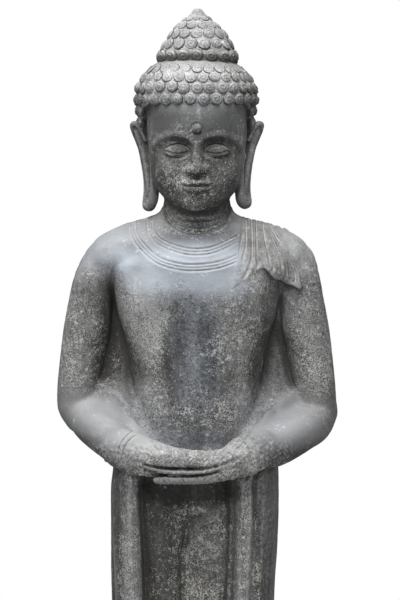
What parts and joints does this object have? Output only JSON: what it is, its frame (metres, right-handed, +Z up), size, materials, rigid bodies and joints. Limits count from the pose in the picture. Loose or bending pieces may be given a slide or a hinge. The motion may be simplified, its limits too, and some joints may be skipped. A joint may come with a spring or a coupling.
{
  "type": "standing buddha statue",
  "caption": "Carved stone statue of a standing buddha in a long robe, hands laid one over the other at the belly, with a curled topknot, on its own low oval plinth.",
  "frame": {"origin": "on the ground under the middle of the plinth", "axes": "+Z up; the figure faces -Y; its left side is at +X"},
  "size_m": [0.4458, 0.344, 1.5],
  "materials": {
    "stone": "matte"
  },
  "bodies": {
    "root": {"buddha_statue": "stone"}
  },
  "joints": []
}
